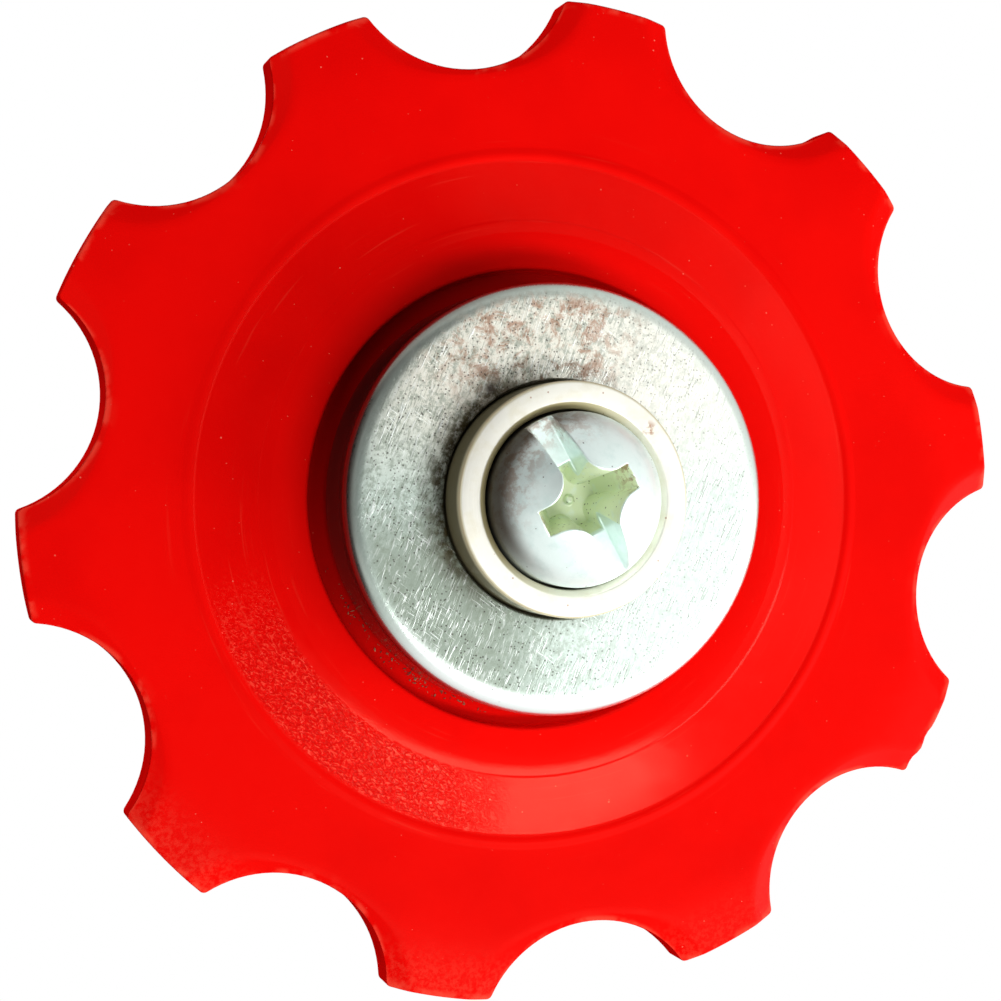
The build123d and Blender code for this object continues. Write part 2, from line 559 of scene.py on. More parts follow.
@dataclass(frozen=True)
class PressedZinc:
    """Grey green zinc plate of the dust caps, finely scratched, speckled and stained brown, with light and shade
    painted across it.
    """

    plate: Colour = (0.52, 0.62, 0.56)
    warm: Colour = (0.78, 0.73, 0.63)
    bright: Colour = (0.86, 0.9, 0.88)
    dull: Colour = (0.21, 0.25, 0.2)
    stain: Colour = (0.36, 0.17, 0.09)
    grime_and_shade: Colour = (0.045, 0.034, 0.012)
    pit: Colour = (0.03, 0.02, 0.015)
    edge_shade: Colour = (0.12, 0.085, 0.07)
    light_headings: tuple[float, ...] = (66.0, 74.0, 143.0)
    dark_headings: tuple[float, ...] = (70.0, 62.0)
    brush_heading: float = 68.0
    warm_heading: float = 90.0
    shaded_heading: float = 224.0
    lit_heading: float = -5.0
    stain_heading: float = 100.0
    grime_and_shadow_heading: float = 164.0
    lip_heading: float = 276.0
    rim_heading: float = 148.0
    side_shade_heading: float = 165.0
    scratch_level: float = 0.6
    hole_radius: float = 4.3
    rim_radius: float = 7.85
    bend_height: float = 4.35
    blot: tuple[float, float, float] = (-2.62, 3.94, 0.34)

    def scored(self, graph: FinishGraph, headings: Sequence[float]) -> Value:
        """Draw fine scratches in several directions, in patches.

        Args:
            graph: shader nodes to add to.
            headings: directions of the scratches.

        Returns:
            1 on a scratch, 0 elsewhere.
        """
        low = self.scratch_level
        marks: Value = 0.0
        for index, heading in enumerate(headings):
            place = graph.streaked(heading, 1.1, 13.0 + 3.0 * index, 9.0)
            lines = graph.rise(graph.noise(1.0, 2.0, 0.55, 0.25, place), low, low + 0.07)
            patch = graph.rise(graph.noise(0.55 + 0.2 * index, 2.0), 0.38 + 0.07 * index, 0.55 + 0.05 * index)
            marks = graph.maths("MAXIMUM", marks, graph.times(lines, patch))
        return marks

    def material(self) -> bpy.types.Material:
        """Make the nodes of the finish.

        Returns:
            The material.
        """
        graph = FinishGraph("pressed_zinc_plate", self.plate)
        radius, rim, hole = graph.radius, self.rim_radius, self.hole_radius
        flat = graph.rise(radius, rim - 0.1, rim - 0.9)
        # Painted light on the right; the dark layers laid with dulled fade there
        lit_side = graph.towards(self.lit_heading, -0.25, 0.9)
        dulled = graph.times(graph.maths("MULTIPLY_ADD", lit_side, -0.4, 0.8), flat)

        # Painted light and shade: lighter and warmer above, darker at the lower left; then a random mottle
        mottle = graph.noise(4.4, 6.0, 0.72)
        graph.lay(self.warm, graph.towards(self.warm_heading, -0.1, 0.75), flat, 0.75)
        graph.lay(self.dull, graph.towards(self.shaded_heading, 0.62, 0.97), flat, 0.84)
        graph.lay(self.dull, graph.rise(mottle, 0.44, 0.62), dulled, 0.85)

        # Brushing and scratches, and painted light on the right
        brushed = graph.noise(1.0, 4.0, 0.66, 0.3, graph.streaked(self.brush_heading, 2.0, 9.0, 9.0))
        patch = graph.times(graph.rise(graph.noise(0.9, 3.0), 0.36, 0.6), dulled)
        graph.lay(self.dull, graph.rise(brushed, 0.48, 0.34), patch, 0.9)
        graph.lay(self.bright, graph.rise(brushed, 0.54, 0.68), dulled, 0.45)
        dark = graph.times(self.scored(graph, self.dark_headings), flat)
        light = graph.times(self.scored(graph, self.light_headings), flat)
        graph.lay(self.dull, dark, 0.55)
        graph.lay(self.bright, light, 0.55)
        graph.lay(self.bright, lit_side, 0.22)

        # Brown stains, and grime with a painted shadow round the bush, mostly at the left
        brown = graph.times(graph.rise(graph.noise(1.5, 6.0, 0.78, 0.5), 0.47, 0.62),
                            graph.towards(self.stain_heading, 0.7, 0.97), flat)
        graph.lay(self.stain, brown, 0.72)
        uneven = graph.maths("MULTIPLY_ADD", graph.rise(graph.noise(2.6, 4.0, 0.65), 0.35, 0.6), 0.6, 0.4)
        graph.lay(self.grime_and_shade, graph.rise(radius, hole + 1.3, hole + 0.1), uneven,
                  graph.towards(self.grime_and_shadow_heading, 0.05, 0.85))

        # Painted highlight on the lip below, and painted shade on the rim at the upper left and on the side
        side = graph.rise(graph.maths("ABSOLUTE", graph.y), self.bend_height + 0.45, self.bend_height + 0.05)
        side_shade = graph.maths("MULTIPLY_ADD", graph.towards(self.side_shade_heading, -0.4, 0.5), 0.67, 0.25)
        graph.lay(self.bright, graph.rise(radius, rim - 0.85, rim - 0.4),
                  graph.towards(self.lip_heading, 0.35, 0.85), 0.95)
        # Painted shade on the rim at the upper left and on the side, most at the left
        graph.lay(self.edge_shade, graph.rise(radius, rim - 0.5, rim - 0.1),
                  graph.towards(self.rim_heading, 0.2, 0.95), 0.7)
        graph.lay(self.edge_shade, side, side_shade)

        # Pits
        pits = graph.maths("MAXIMUM", graph.specks(3.4, 0.22, 0.55), graph.specks(7.0, 0.32, 0.55))
        pits = graph.maths("MAXIMUM", graph.times(pits, dulled), graph.spot(*self.blot))
        graph.lay(self.pit, pits, 0.85)
        graph.emboss(graph.times(graph.noise(0.9, 2.0), flat), 0.012)
        graph.emboss(graph.maths("SUBTRACT", light, dark), 0.003)
        dirt = graph.maths("MAXIMUM", brown, pits)
        rough = graph.maths("MULTIPLY_ADD", dirt, 0.35, graph.maths("MULTIPLY_ADD", mottle, 0.2, 0.24))
        return graph.dress(
            Metallic=graph.maths("MULTIPLY_ADD", dirt, -0.5, 0.92),
            Roughness=graph.maths("MULTIPLY_ADD", side, -0.2, rough),
        )


@dataclass(frozen=True)
class TurnedZinc:
    """Ivory zinc plate of the bush, golden where the cutter bared it, dark on its side and in its mouth with grime and
    painted shade.
    """

    ivory: Colour = (0.87, 0.86, 0.77)
    gold: Colour = (0.6, 0.52, 0.25)
    shade_and_grime_green: Colour = (0.1, 0.085, 0.04)
    grime_and_shade: Colour = (0.05, 0.035, 0.018)
    rust: Colour = (0.34, 0.12, 0.03)
    face_inner: float = 3.45
    face_outer: float = 4.1
    end_height: float = 6.7
    shaded_heading: float = 150.0
    fleck: tuple[float, float, float] = (2.75, 2.5, 0.42)

    def material(self) -> bpy.types.Material:
        """Make the nodes of the finish.

        Returns:
            The material.
        """
        graph = FinishGraph("turned_zinc_plate", self.ivory)
        radius, end = graph.radius, self.end_height
        height = graph.maths("ABSOLUTE", graph.y)
        cloud = graph.noise(1.4, 4.0, 0.6)
        graph.lay(self.gold, graph.rise(cloud, 0.45, 0.75), 0.22)
        graph.lay(self.gold, graph.rise(radius, self.face_outer - 0.02, self.face_outer + 0.08), 0.7)
        # Painted shade with grime on the side of the bush end
        wall = graph.rise(height, end - 0.14, end - 0.55)
        graph.lay(self.shade_and_grime_green, wall, 0.94)

        # Mouth round the head of the bolt, golden on its chamfer and darker towards its floor with painted shade and
        # grime, most at the upper left
        mouth = graph.times(graph.rise(radius, self.face_inner + 0.03, self.face_inner - 0.05),
                            graph.rise(graph.y, 0.0, -2.0))
        shaded = graph.maths("MULTIPLY_ADD", graph.towards(self.shaded_heading, -0.5, 0.7), 0.75, 0.2)
        graph.lay(self.gold, mouth, shaded)
        deep = graph.times(mouth, shaded, graph.rise(height, end - 0.2, end - 0.5))
        graph.lay(self.grime_and_shade, deep)

        # Rusty specks, and marks of the lathe
        fleck = graph.times(graph.spot(*self.fleck), graph.rise(graph.noise(5.0, 3.0), 0.42, 0.6))
        specks = graph.maths("MAXIMUM", graph.times(graph.specks(3.0, 0.12, 0.35), 0.6), fleck)
        graph.lay(self.rust, specks)
        graph.emboss(graph.noise(1.1, 2.0), 0.015)
        graph.emboss(graph.noise(1.0, 2.0, place=graph.ringed(16.0, 0.8)), 0.004)
        return graph.dress(
            Metallic=graph.maths("SUBTRACT", 0.3, graph.times(graph.maths("MAXIMUM", deep, wall), 0.25)),
            Roughness=graph.maths("MULTIPLY_ADD", cloud, 0.2, 0.3),
        )


@dataclass(frozen=True)
class BoltZinc:
    """Pale zinc plate of the bolt, olive and rusty in the cross recess, dark round the rim of its head with grime and
    painted shade.
    """

    pale: Colour = (0.81, 0.93, 0.89)
    worn: Colour = (0.61, 0.77, 0.73)
    olive: Colour = (0.78, 0.87, 0.58)
    rust: Colour = (0.3, 0.12, 0.04)
    grime_and_shade: Colour = (0.05, 0.032, 0.016)
    rim_radius: float = 3.1
    smear_radius: float = 1.6
    cross_reach: float = 1.85
    skirt_heading: float = 160.0
    smear_heading: float = 140.0

    def material(self) -> bpy.types.Material:
        """Make the nodes of the finish.

        Returns:
            The material.
        """
        graph = FinishGraph("bolt_zinc_plate", self.pale)
        radius, rim = graph.radius, self.rim_radius
        cloud = graph.noise(1.7, 4.0, 0.6)
        graph.lay(self.worn, graph.rise(cloud, 0.45, 0.75), 0.5)

        # Cross recess, rusty at the ends of its arms
        cross = graph.attribute("cross")
        uneven = graph.maths("MULTIPLY_ADD", graph.rise(graph.noise(2.4, 3.0), 0.25, 0.5), 0.5, 0.5)
        pocket = graph.times(graph.rise(cross, 0.2, 0.6), uneven)
        graph.lay(self.olive, pocket, 0.9)
        arms = graph.rise(radius, self.cross_reach - 0.55, self.cross_reach)
        graph.lay(self.rust, graph.rise(cross, 0.05, 0.4), arms,
                  graph.rise(graph.noise(3.2, 4.0, 0.7), 0.45, 0.6), 0.75)

        # Smear at the upper left, and grime with painted shade round the rim of the head, most at the left
        front = graph.rise(graph.y, 0.0, -2.0)
        graph.lay(self.rust, graph.rise(radius, self.smear_radius, rim - 0.3), front,
                  graph.towards(self.smear_heading, 0.2, 0.95),
                  graph.rise(graph.noise(2.1, 5.0, 0.7), 0.44, 0.6), 0.55)
        skirt = graph.times(
            graph.rise(radius, rim - 0.7, rim - 0.15), front,
            graph.maths("SUBTRACT", 1.0, graph.attribute("slot")),
            graph.maths("MULTIPLY_ADD", graph.towards(self.skirt_heading, -0.2, 0.8), 0.92, 0.08),
        )
        graph.lay(self.grime_and_shade, skirt, 0.92)
        crumbs = graph.times(graph.specks(7.0, 0.3, 0.4), cross)
        graph.lay(self.grime_and_shade, graph.maths("MAXIMUM", graph.specks(4.2, 0.16, 0.25), crumbs), 0.75)
        graph.emboss(cloud, 0.015)
        graph.emboss(graph.noise(9.0, 2.0), 0.004)
        metal = graph.maths("MULTIPLY_ADD", pocket, -0.45, 0.55)
        rough = graph.maths("MULTIPLY_ADD", cloud, 0.2, 0.28)
        return graph.dress(
            Metallic=graph.maths("MULTIPLY_ADD", skirt, 0.4, metal),
            Roughness=graph.maths("MULTIPLY_ADD", skirt, 0.25, rough),
        )


@dataclass(frozen=True)
class DriedGrime:
    """Crumbs of dried grease and dust, pale and brown."""

    pale: Colour = (0.36, 0.14, 0.075)
    brown: Colour = (0.15, 0.018, 0.01)

    def material(self) -> bpy.types.Material:
        """Make the nodes of the finish.

        Returns:
            The material.
        """
        graph = FinishGraph("dried_grime", self.brown)
        graph.lay(self.pale, graph.rise(graph.noise(3.0, 3.0), 0.38, 0.62))
        graph.emboss(graph.noise(14.0, 2.0), 0.02)
        return graph.dress(Roughness=0.9)


@dataclass(frozen=True)
class Corner:
    """Corner of a turned profile, with the rounding that it gets."""

    radius: float
    along: float
    rounding: float = 0.0


def straight_run(shell: bmesh.types.BMesh, start: Vector, end: Vector) -> bmesh.types.BMEdge:
    """Find the straight edge that is left between two corners once they are rounded.

    Args:
        shell: mesh of the profile.
        start: place of one corner before its rounding.
        end: place of the next corner before its rounding.

    Returns:
        The edge with its middle nearest to the middle of the run.
    """
    middle = (start + end) / 2.0
    return min(shell.edges, key=lambda edge: ((edge.verts[0].co + edge.verts[1].co) / 2.0 - middle).length)


def turn_profile(corners: Sequence[Corner], steps: int, closed: bool, heading: float = 0.0,
                 rings: Sequence[int] = (), segments: int = 4) -> bmesh.types.BMesh:
    """Turn a profile round the axis of the wheel.

    Args:
        corners: corners of the profile in order.
        steps: number of steps of the full turn.
        closed: whether the last corner joins the first.
        heading: direction of the profile, in degrees from +X towards +Z.
        rings: cuts to make in each run between two corners, after the corners are rounded.
        segments: segments of each rounded corner.

    Returns:
        A mesh in metres with its doubles merged and its faces outwards.
    """
    shell = bmesh.new()
    angle = math.radians(heading)
    points = [
        shell.verts.new(Vector((c.radius * math.cos(angle), c.along, c.radius * math.sin(angle))) * MM)
        for c in corners
    ]
    runs = list(zip(points, points[1:] + points[:1])) if closed else list(zip(points, points[1:]))
    ends = [(start.co.copy(), end.co.copy()) for start, end in runs]
    for run in runs:
        shell.edges.new(run)
    for point, corner in zip(points, corners):
        if corner.rounding > 0.0:
            bmesh.ops.bevel(shell, geom=[point], offset=corner.rounding * MM, offset_type="OFFSET",
                            segments=segments, profile=0.5, affect="VERTICES", material=-1)
    for (start, end), cuts in zip(ends, rings):
        if cuts:
            bmesh.ops.subdivide_edges(shell, edges=[straight_run(shell, start, end)], cuts=cuts)
    bmesh.ops.spin(shell, geom=shell.verts[:] + shell.edges[:], cent=CENTRE, axis=AXIS, angle=math.tau,
                   steps=steps, use_merge=True, use_duplicate=False)
    bmesh.ops.remove_doubles(shell, verts=shell.verts[:], dist=MERGE_DISTANCE)
    bmesh.ops.recalc_face_normals(shell, faces=shell.faces[:])
    return shell


@dataclass
class SubAssembly:
    """One visible piece, built as a mesh, dressed in its finish and seated on its body."""

    name: str
    body: Body
    slot: Slot
    replaced: tuple[str, ...] = ()

    def build(self) -> bmesh.types.BMesh:
        """Build the mesh of the piece; each kind of piece has its own."""
        raise NotImplementedError

    def dress(self) -> list[bpy.types.Material]:
        """Make the finishes of the piece; each kind of piece has its own."""
        raise NotImplementedError

    def seat(self) -> None:
        """Build the piece, dress it and let it ride on its body."""
        piece = mesh_object(self.name, self.build(), self.dress())
        piece.data.shade_smooth()
        weighted = piece.modifiers.new("weighted_normals", "WEIGHTED_NORMAL")
        weighted.weight = NORMAL_WEIGHT
        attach(piece, self.body.value)
        if self.replaced:
            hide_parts(*self.replaced)
        LOG.info("%s rides on %s with %d faces", self.name, self.body.value, len(piece.data.polygons))


@dataclass(frozen=True)
class Nick:
    """Place where a tooth is worn or chipped, in the front view."""

    x: float
    z: float
    reach: float
    depth: float


@dataclass
class ToothedWheel(SubAssembly):
    """Moulded wheel with its hub, recesses and ten bevelled teeth."""

    name: str = "moulded_wheel"
    body: Body = Body.WHEEL
    slot: Slot = Slot.WHEEL
    replaced: tuple[str, ...] = ("toothed_wheel",)
    chain_pitch: float = 12.7
    tooth_count: int = 10
    pocket_radius: float = 4.38
    tip_radius: float = 18.9
    tip_corner: float = 0.2
    first_pocket: float = -10.5
    tooth_face: float = 1.2
    roll_start: float = 16.9
    roll_angle: float = 7.0
    roll_blend: float = 10.0
    flank_centre: float = 23.97
    flank_radius: float = 8.05
    flank_angle: float = 20.0
    edge_rounding: float = 0.09
    wear_reach: float = 0.3
    crease: float = 0.03
    crease_limit: float = 0.9
    crease_rounds: int = 30
    wall_facing: float = 0.6
    slope_span: Span = (9.9, 12.7)
    slope_sheen: float = 0.22
    slope_roughness: float = 0.07
    ring_start: float = 13.6
    pocket_columns: int = 15
    corner_columns: int = 4
    tip_columns: int = 8
    face_rows: int = 8
    bevel_rows: int = 6
    edge_rows: int = 3
    wall_rows: int = 3
    hub_segments: int = 3
    hub: tuple[Corner, ...] = (
        Corner(5.05, 0.0),
        Corner(5.05, -3.9, 0.12),
        Corner(6.8, -3.9, 0.14),
        Corner(6.8, -0.72, 0.1),
        Corner(8.57, -0.72, 0.14),
        Corner(8.57, -1.62, 0.15),
        Corner(9.85, -1.62, 0.3),
        Corner(10.37, -1.546, 0.03),
        Corner(10.44, -1.524, 0.03),
        Corner(12.65, -1.2, 0.06),
        Corner(12.87, -1.26, 0.1),
        Corner(13.15, -1.2, 0.06),
        Corner(13.6, -1.2),
    )
    nicks: tuple[Nick, ...] = (
        Nick(16.4, -9.35, 0.55, 0.09),
        Nick(15.85, -10.3, 0.55, 0.11),
    )

    @property
    def pitch_radius(self) -> float:
        """Radius of the circle through the middles of the chain rollers."""
        return self.chain_pitch / (2.0 * math.sin(math.pi / self.tooth_count))

    @property
    def half_columns(self) -> int:
        """Columns of the grid from the root of a pocket to the middle of a tip."""
        return self.pocket_columns + self.corner_columns + self.tip_columns

    def half_outline(self) -> list[Vector]:
        """Follow the outline from the root of a pocket to the middle of a tooth tip.

        Returns:
            A point for each column, with x along the pocket and y across it.
        """
        pitch = self.pitch_radius
        reach = self.tip_radius - self.tip_corner
        span = self.pocket_radius + self.tip_corner
        turn = math.acos((reach**2 + pitch**2 - span**2) / (2.0 * reach * pitch))
        corner = Vector((reach * math.cos(turn), reach * math.sin(turn)))
        open_angle = math.atan2(corner.y, pitch - corner.x)
        points = []
        for index in range(self.pocket_columns):
            angle = open_angle * index / self.pocket_columns
            points.append(Vector((pitch - self.pocket_radius * math.cos(angle), self.pocket_radius * math.sin(angle))))
        start = -open_angle
        for index in range(self.corner_columns):
            angle = start + (turn - start) * index / self.corner_columns
            points.append(corner + self.tip_corner * Vector((math.cos(angle), math.sin(angle))))
        for index in range(self.tip_columns + 1):
            angle = turn + (math.pi / self.tooth_count - turn) * index / self.tip_columns
            points.append(self.tip_radius * Vector((math.cos(angle), math.sin(angle))))
        return points

    def face_height(self, radius: float) -> float:
        """Height of the tooth face above the middle plane, rolled off towards the tips.

        Args:
            radius: distance from the axis.

        Returns:
            The height.
        """
        slope = math.tan(math.radians(self.roll_angle))
        tangent = self.roll_blend * math.tan(math.radians(self.roll_angle / 2.0))
        run = radius - self.roll_start
        if run <= -tangent:
            return self.tooth_face
        if run < tangent:
            return self.tooth_face - (run + tangent) ** 2 * slope / (4.0 * tangent)
        return self.tooth_face - run * slope

    def flank_height(self, point: Vector) -> float:
        """Height of the bevel along the pocket.

        Args:
            point: place with x along the pocket and y across it.

        Returns:
            The height of the bevel cone there.
        """
        away = (point - Vector((self.flank_centre, 0.0))).length
        return self.tooth_face - (self.flank_radius - away) * math.tan(math.radians(self.flank_angle))

    def crease_share(self, inner: Vector, outer: Vector) -> float:
        """Find where a column of the grid meets the bevel.

        Args:
            inner: start of the column.
            outer: end of the column, on the outline.

        Returns:
            The share of the column before the bevel.
        """
        def on_face(share: float) -> bool:
            """Tell whether the column is still on the face there."""
            point = inner.lerp(outer, share)
            return self.flank_height(point) > self.face_height(point.length)

        return min(last_share(on_face, self.crease_rounds), self.crease_limit)

    def column(self, inner: Vector, outer: Vector) -> list[tuple[Vector, float, float]]:
        """Place the points of one column of the grid, from the hub over the edge to the middle plane.

        Args:
            inner: start of the column, at the hub.
            outer: end of the column, on the outline.

        Returns:
            Place, height and edge wear of each point.
        """
        edge = self.edge_rounding / (outer - inner).length
        bend = self.crease_share(inner, outer)
        shares = [bend * index / self.face_rows for index in range(self.face_rows)]
        shares += [bend + (1.0 - edge - bend) * index / self.bevel_rows for index in range(self.bevel_rows + 1)]
        points = []
        for share in shares:
            place = inner.lerp(outer, share)
            height = soft_min(self.face_height(place.length), self.flank_height(place), self.crease)
            left = (1.0 - share) * (outer - inner).length
            points.append((place, height, smooth_step(self.wear_reach, self.edge_rounding, left)))
        top = points[-1][1]
        for index in range(1, self.edge_rows + 1):
            angle = math.pi / 2.0 * index / self.edge_rows
            place = inner.lerp(outer, 1.0 - edge * (1.0 - math.sin(angle)))
            points.append((place, top - self.edge_rounding * (1.0 - math.cos(angle)), 1.0))
        rim = points[-1][1]
        for index in range(1, self.wall_rows + 1):
            points.append((outer, rim * (1.0 - index / self.wall_rows), 0.0))
        return points

    def tooth_sector(self) -> bmesh.types.BMesh:
        """Build the front half of one pocket with half a tooth on each side of it.

        Returns:
            A grid bent to the sector, with the edge wear stored on its points.
        """
        half = self.half_columns
        rows = self.face_rows + self.bevel_rows + self.edge_rows + self.wall_rows
        sector = bmesh.new()
        bmesh.ops.create_grid(sector, x_segments=2 * half, y_segments=rows, size=1.0)
        wear = sector.verts.layers.float.new("edge_wear")
        outline = self.half_outline()
        columns = []
        for index in range(-half, half + 1):
            angle = math.pi / self.tooth_count * index / half
            inner = self.ring_start * Vector((math.cos(angle), math.sin(angle)))
            outer = outline[abs(index)].copy()
            if index < 0:
                outer.y = -outer.y
            columns.append(self.column(inner, outer))
        heading = math.radians(self.first_pocket)
        for vertex in sector.verts:
            column = columns[round((vertex.co.x + 1.0) * half)]
            place, height, worn = column[round((vertex.co.y + 1.0) * rows / 2.0)]
            place = place @ Matrix.Rotation(-heading, 2)
            vertex.co = Vector((place.x, Side.FRONT.value * height, place.y)) * MM
            vertex[wear] = worn
        return sector

    def build(self) -> bmesh.types.BMesh:
        """Build the wheel from one sector of teeth and the turned hub.

        Returns:
            The whole wheel, mirrored about the middle plane of the teeth.
        """
        wheel = self.tooth_sector()
        share = (self.tooth_count - 1) / self.tooth_count
        bmesh.ops.spin(wheel, geom=wheel.verts[:] + wheel.edges[:] + wheel.faces[:], cent=CENTRE, axis=AXIS,
                       angle=math.tau * share, steps=self.tooth_count - 1, use_duplicate=True)
        steps = 2 * self.half_columns * self.tooth_count
        hub = turn_profile(self.hub, steps, closed=False, heading=self.first_pocket, segments=self.hub_segments)
        turned = bpy.data.meshes.new("turned_hub")
        hub.to_mesh(turned)
        hub.free()
        wheel.from_mesh(turned)
        bpy.data.meshes.remove(turned)
        bmesh.ops.mirror(wheel, geom=wheel.verts[:] + wheel.edges[:] + wheel.faces[:], axis="Y",
                         merge_dist=MERGE_DISTANCE)
        bmesh.ops.remove_doubles(wheel, verts=wheel.verts[:], dist=MERGE_DISTANCE)
        bmesh.ops.recalc_face_normals(wheel, faces=wheel.faces[:])
        self.wear_tips(wheel)
        self.sort_faces(wheel)
        return wheel

    def sort_faces(self, wheel: bmesh.types.BMesh) -> None:
        """Set the walls of the teeth and the slope of the hub apart for finishes of their own.

        Args:
            wheel: mesh of the whole wheel.
        """
        inner, outer = self.slope_span
        for face in wheel.faces:
            middle = face.calc_center_median()
            radius = math.hypot(middle.x, middle.z) / MM
            if radius > self.ring_start and abs(face.normal.y) < self.wall_facing:
                face.material_index = WheelFinish.TOOTH_WALL.value
            elif inner < radius < outer:
                face.material_index = WheelFinish.SLOPE.value

    def wear_tips(self, wheel: bmesh.types.BMesh) -> None:
        """Press the nicks into the teeth.

        Args:
            wheel: mesh of the whole wheel.
        """
        for nick in self.nicks:
            middle = Vector((nick.x, 0.0, nick.z)) * MM
            for vertex in wheel.verts:
                away = (Vector((vertex.co.x, 0.0, vertex.co.z)) - middle).length / MM
                if away < nick.reach:
                    push = nick.depth * smooth_step(nick.reach, 0.0, away) * MM
                    vertex.co -= middle.normalized() * push

    def dress(self) -> list[bpy.types.Material]:
        """Give the wheel its red plastic, matt on the walls of the teeth and glossier on the slope.

        Returns:
            The materials, in the order of their indices.
        """
        slope = MouldedPlastic(name="grained_moulded_plastic", sheen_level=self.slope_sheen,
                               roughness=self.slope_roughness)
        finishes = {WheelFinish.DISC: MouldedPlastic(), WheelFinish.TOOTH_WALL: MattPlastic(), WheelFinish.SLOPE: slope}
        return [finishes[finish].material() for finish in WheelFinish]


@dataclass
class DustCap(SubAssembly):
    """Pressed cup that covers one side of the hub."""

    body: Body = Body.AXLE
    slot: Slot = Slot.CAP
    side: Side = Side.FRONT
    hole_radius: float = 4.3
    radius: float = 7.85
    sheet: float = 0.7
    face: float = 4.9
    rim_end: float = 1.12
    bend: float = 0.6
    inner_bend: float = 0.3
    hole_rounding: float = 0.08
    back_rounding: float = 0.05
    rim_rounding: float = 0.12
    rings: tuple[int, ...] = (6, 3, 0, 2, 2, 1)
    segments: int = 8
    steps: int = 360

    def build(self) -> bmesh.types.BMesh:
        """Turn the section of the cup.

        Returns:
            The whole cup.
        """
        sign = self.side.value
        inner = self.radius - self.sheet
        back = self.face - self.sheet
        section = (
            Corner(self.hole_radius, sign * self.face, self.hole_rounding),
            Corner(self.radius, sign * self.face, self.bend),
            Corner(self.radius, sign * self.rim_end, self.rim_rounding),
            Corner(inner, sign * self.rim_end, self.rim_rounding),
            Corner(inner, sign * back, self.inner_bend),
            Corner(self.hole_radius, sign * back, self.back_rounding),
        )
        return turn_profile(section, self.steps, closed=True, rings=self.rings, segments=self.segments)

    def dress(self) -> list[bpy.types.Material]:
        """Give both caps the same zinc plate."""
        return [bpy.data.materials.get("pressed_zinc_plate") or PressedZinc().material()]


@dataclass
class AxleBush(SubAssembly):
    """Steel bush that carries the wheel and the caps, with a wide mouth for the bolt head."""

    name: str = "turned_bush"
    body: Body = Body.AXLE
    slot: Slot = Slot.BUSH
    replaced: tuple[str, ...] = ("axle_bush",)
    hole_radius: float = 2.1
    seat_radius: float = 3.2
    end_radius: float = 4.2
    journal_radius: float = 5.0
    shoulder: float = 4.2
    end: float = 6.7
    head_seat: float = 5.2
    mouth_chamfer: float = 0.25
    hole_rounding: float = 0.04
    edge_rounding: float = 0.06
    inner_rounding: float = 0.05
    rim_rounding: float = 0.12
    segments: int = 3
    steps: int = 300

    def build(self) -> bmesh.types.BMesh:
        """Turn the section of the bush.

        Returns:
            The whole bush.
        """
        section = (
            Corner(self.hole_radius, -self.head_seat, self.hole_rounding),
            Corner(self.seat_radius, -self.head_seat, self.edge_rounding),
            Corner(self.seat_radius, self.mouth_chamfer - self.end, self.edge_rounding),
            Corner(self.seat_radius + self.mouth_chamfer, -self.end, self.inner_rounding),
            Corner(self.end_radius, -self.end, self.rim_rounding),
            Corner(self.end_radius, -self.shoulder, self.inner_rounding),
            Corner(self.journal_radius, -self.shoulder, self.edge_rounding),
            Corner(self.journal_radius, self.shoulder, self.edge_rounding),
            Corner(self.end_radius, self.shoulder, self.inner_rounding),
            Corner(self.end_radius, self.end, self.rim_rounding),
            Corner(self.hole_radius, self.end, self.rim_rounding),
        )
        return turn_profile(section, self.steps, closed=True, segments=self.segments)

    def dress(self) -> list[bpy.types.Material]:
        """Give the bush its ivory plate."""
        return [TurnedZinc().material()]


